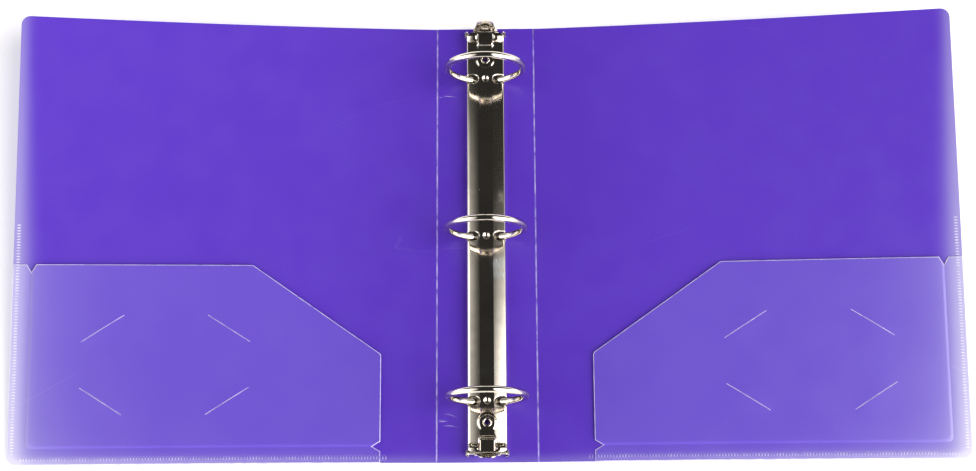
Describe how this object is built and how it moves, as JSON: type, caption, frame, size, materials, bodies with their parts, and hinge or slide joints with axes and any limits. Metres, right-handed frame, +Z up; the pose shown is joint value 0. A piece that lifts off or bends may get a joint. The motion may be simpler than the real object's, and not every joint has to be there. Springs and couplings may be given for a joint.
{
  "type": "ring binder",
  "caption": "Ring binder lying open: plastic covers on living hinges, welded inside pockets and a steel ring mechanism with end levers.",
  "frame": {"origin": "middle of the spine's underside", "axes": "+X towards the back cover, +Y along the spine towards its top end, +Z up from the resting face"},
  "size_m": [0.6094, 0.292, 0.0557],
  "materials": {
    "tinted_plastic": "translucent polypropylene with a fine diagonal emboss",
    "pocket_film": "thin clear-tinted film with a fine diagonal emboss",
    "bright_nickel": "bright nickel plate",
    "zinc_plated_steel": "plain plated steel"
  },
  "bodies": {
    "spine": {"spine_panel": "tinted_plastic", "ring_housing": "bright_nickel", "top_rivet": "bright_nickel", "bottom_rivet": "bright_nickel", "top_spacer": "zinc_plated_steel", "bottom_spacer": "zinc_plated_steel", "top_lever_pin": "zinc_plated_steel", "bottom_lever_pin": "zinc_plated_steel"},
    "front_cover": {"front_cover_panel": "tinted_plastic", "front_pocket": "pocket_film"},
    "back_cover": {"back_cover_panel": "tinted_plastic", "back_pocket": "pocket_film"},
    "left_ring_blade": {"left_blade": "zinc_plated_steel", "bottom_ring_left": "bright_nickel", "middle_ring_left": "bright_nickel", "top_ring_left": "bright_nickel"},
    "right_ring_blade": {"right_blade": "zinc_plated_steel", "bottom_ring_right": "bright_nickel", "middle_ring_right": "bright_nickel", "top_ring_right": "bright_nickel"},
    "top_lever": {"top_lever": "bright_nickel"},
    "bottom_lever": {"bottom_lever": "bright_nickel"}
  },
  "joints": [
    {"name": "back_cover_hinge", "type": "hinge", "parent": "spine", "child": "back_cover", "pos_m": [0.0322, 0, 0.0006], "axis": [0, -1, 0], "range_deg": [-93.5, 81.5], "stiffness_Nm_per_rad": 0.15, "springref_deg": 57.3},
    {"name": "front_cover_hinge", "type": "hinge", "parent": "spine", "child": "front_cover", "pos_m": [-0.0322, 0, 0.0006], "axis": [0, 1, 0], "range_deg": [-93.5, 81.5], "stiffness_Nm_per_rad": 0.15, "springref_deg": 57.3},
    {"name": "left_rings_open", "type": "hinge", "parent": "spine", "child": "left_ring_blade", "pos_m": [-0.0112, 0, 0.0034], "axis": [0, -1, 0], "range_deg": [0, 14]},
    {"name": "right_rings_open", "type": "hinge", "parent": "spine", "child": "right_ring_blade", "pos_m": [0.0112, 0, 0.0034], "axis": [0, 1, 0], "range_deg": [0, 14]},
    {"name": "top_lever_tilt", "type": "hinge", "parent": "spine", "child": "top_lever", "pos_m": [0, 0.1403, 0.0046], "axis": [-1, 0, 0], "range_deg": [0, 28]},
    {"name": "bottom_lever_tilt", "type": "hinge", "parent": "spine", "child": "bottom_lever", "pos_m": [0, -0.1403, 0.0046], "axis": [1, 0, 0], "range_deg": [0, 28]}
  ],
  "couplings": [
    {"joint": "right_rings_open", "follows": "left_rings_open", "ratio": 1},
    {"joint": "top_lever_tilt", "follows": "left_rings_open", "ratio": 2},
    {"joint": "bottom_lever_tilt", "follows": "left_rings_open", "ratio": 2}
  ]
}
